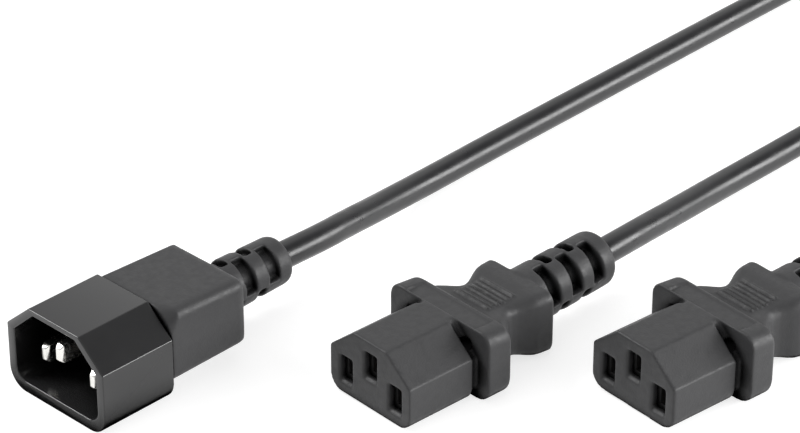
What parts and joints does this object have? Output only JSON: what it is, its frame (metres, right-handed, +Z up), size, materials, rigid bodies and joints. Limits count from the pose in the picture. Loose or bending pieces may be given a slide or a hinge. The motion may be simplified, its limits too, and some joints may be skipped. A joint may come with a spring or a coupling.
{
  "type": "power cord splitter",
  "caption": "Mains cord splitter: a shrouded inlet plug on a trunk cord, a moulded Y junction, and branch cords to appliance connectors with slotted strain reliefs.",
  "frame": {"origin": "on the table, under the middle of the plug, both connectors and the Y junction taken together", "axes": "+Z up from the table; the mating faces look towards -Y and the Y junction lies towards +Y; the plug is at -X"},
  "size_m": [0.121, 0.385, 0.02],
  "materials": {
    "moulding": "matt black soft PVC with a fine grain",
    "shroud": "glossy black hard plastic",
    "sheath": "satin to glossy black PVC sheath",
    "carrier": "plain black hard plastic",
    "pin": "nickel plated brass, polished",
    "contact": "plain spring brass",
    "splice": "tinned crimp sleeve",
    "line_insulation": "brown PVC",
    "neutral_insulation": "blue PVC",
    "earth_insulation": "green PVC with a yellow stripe"
  },
  "bodies": {
    "root": {"branch_a_cord": "sheath", "branch_b_cord": "sheath", "connector_a_contact_carrier": "carrier", "connector_a_earth_contact": "contact", "connector_a_earth_core": "earth_insulation", "connector_a_line_contact": "contact", "connector_a_line_core": "line_insulation", "connector_a_moulding": "moulding", "connector_a_neutral_contact": "contact", "connector_a_neutral_core": "neutral_insulation", "connector_a_sheath_end": "sheath", "connector_b_contact_carrier": "carrier", "connector_b_earth_contact": "contact", "connector_b_earth_core": "earth_insulation", "connector_b_line_contact": "contact", "connector_b_line_core": "line_insulation", "connector_b_moulding": "moulding", "connector_b_neutral_contact": "contact", "connector_b_neutral_core": "neutral_insulation", "connector_b_sheath_end": "sheath", "junction_branch_a_sheath_end": "sheath", "junction_branch_b_sheath_end": "sheath", "junction_earth_splice": "splice", "junction_line_splice": "splice", "junction_moulding": "moulding", "junction_neutral_splice": "splice", "junction_trunk_sheath_end": "sheath", "plug_earth_core": "earth_insulation", "plug_earth_pin": "pin", "plug_grip": "moulding", "plug_line_core": "line_insulation", "plug_line_pin": "pin", "plug_neutral_core": "neutral_insulation", "plug_neutral_pin": "pin", "plug_sheath_end": "sheath", "plug_shroud": "shroud", "trunk_cord_coil": "sheath", "trunk_cord_lead": "sheath", "trunk_cord_tail": "sheath"}
  },
  "joints": []
}
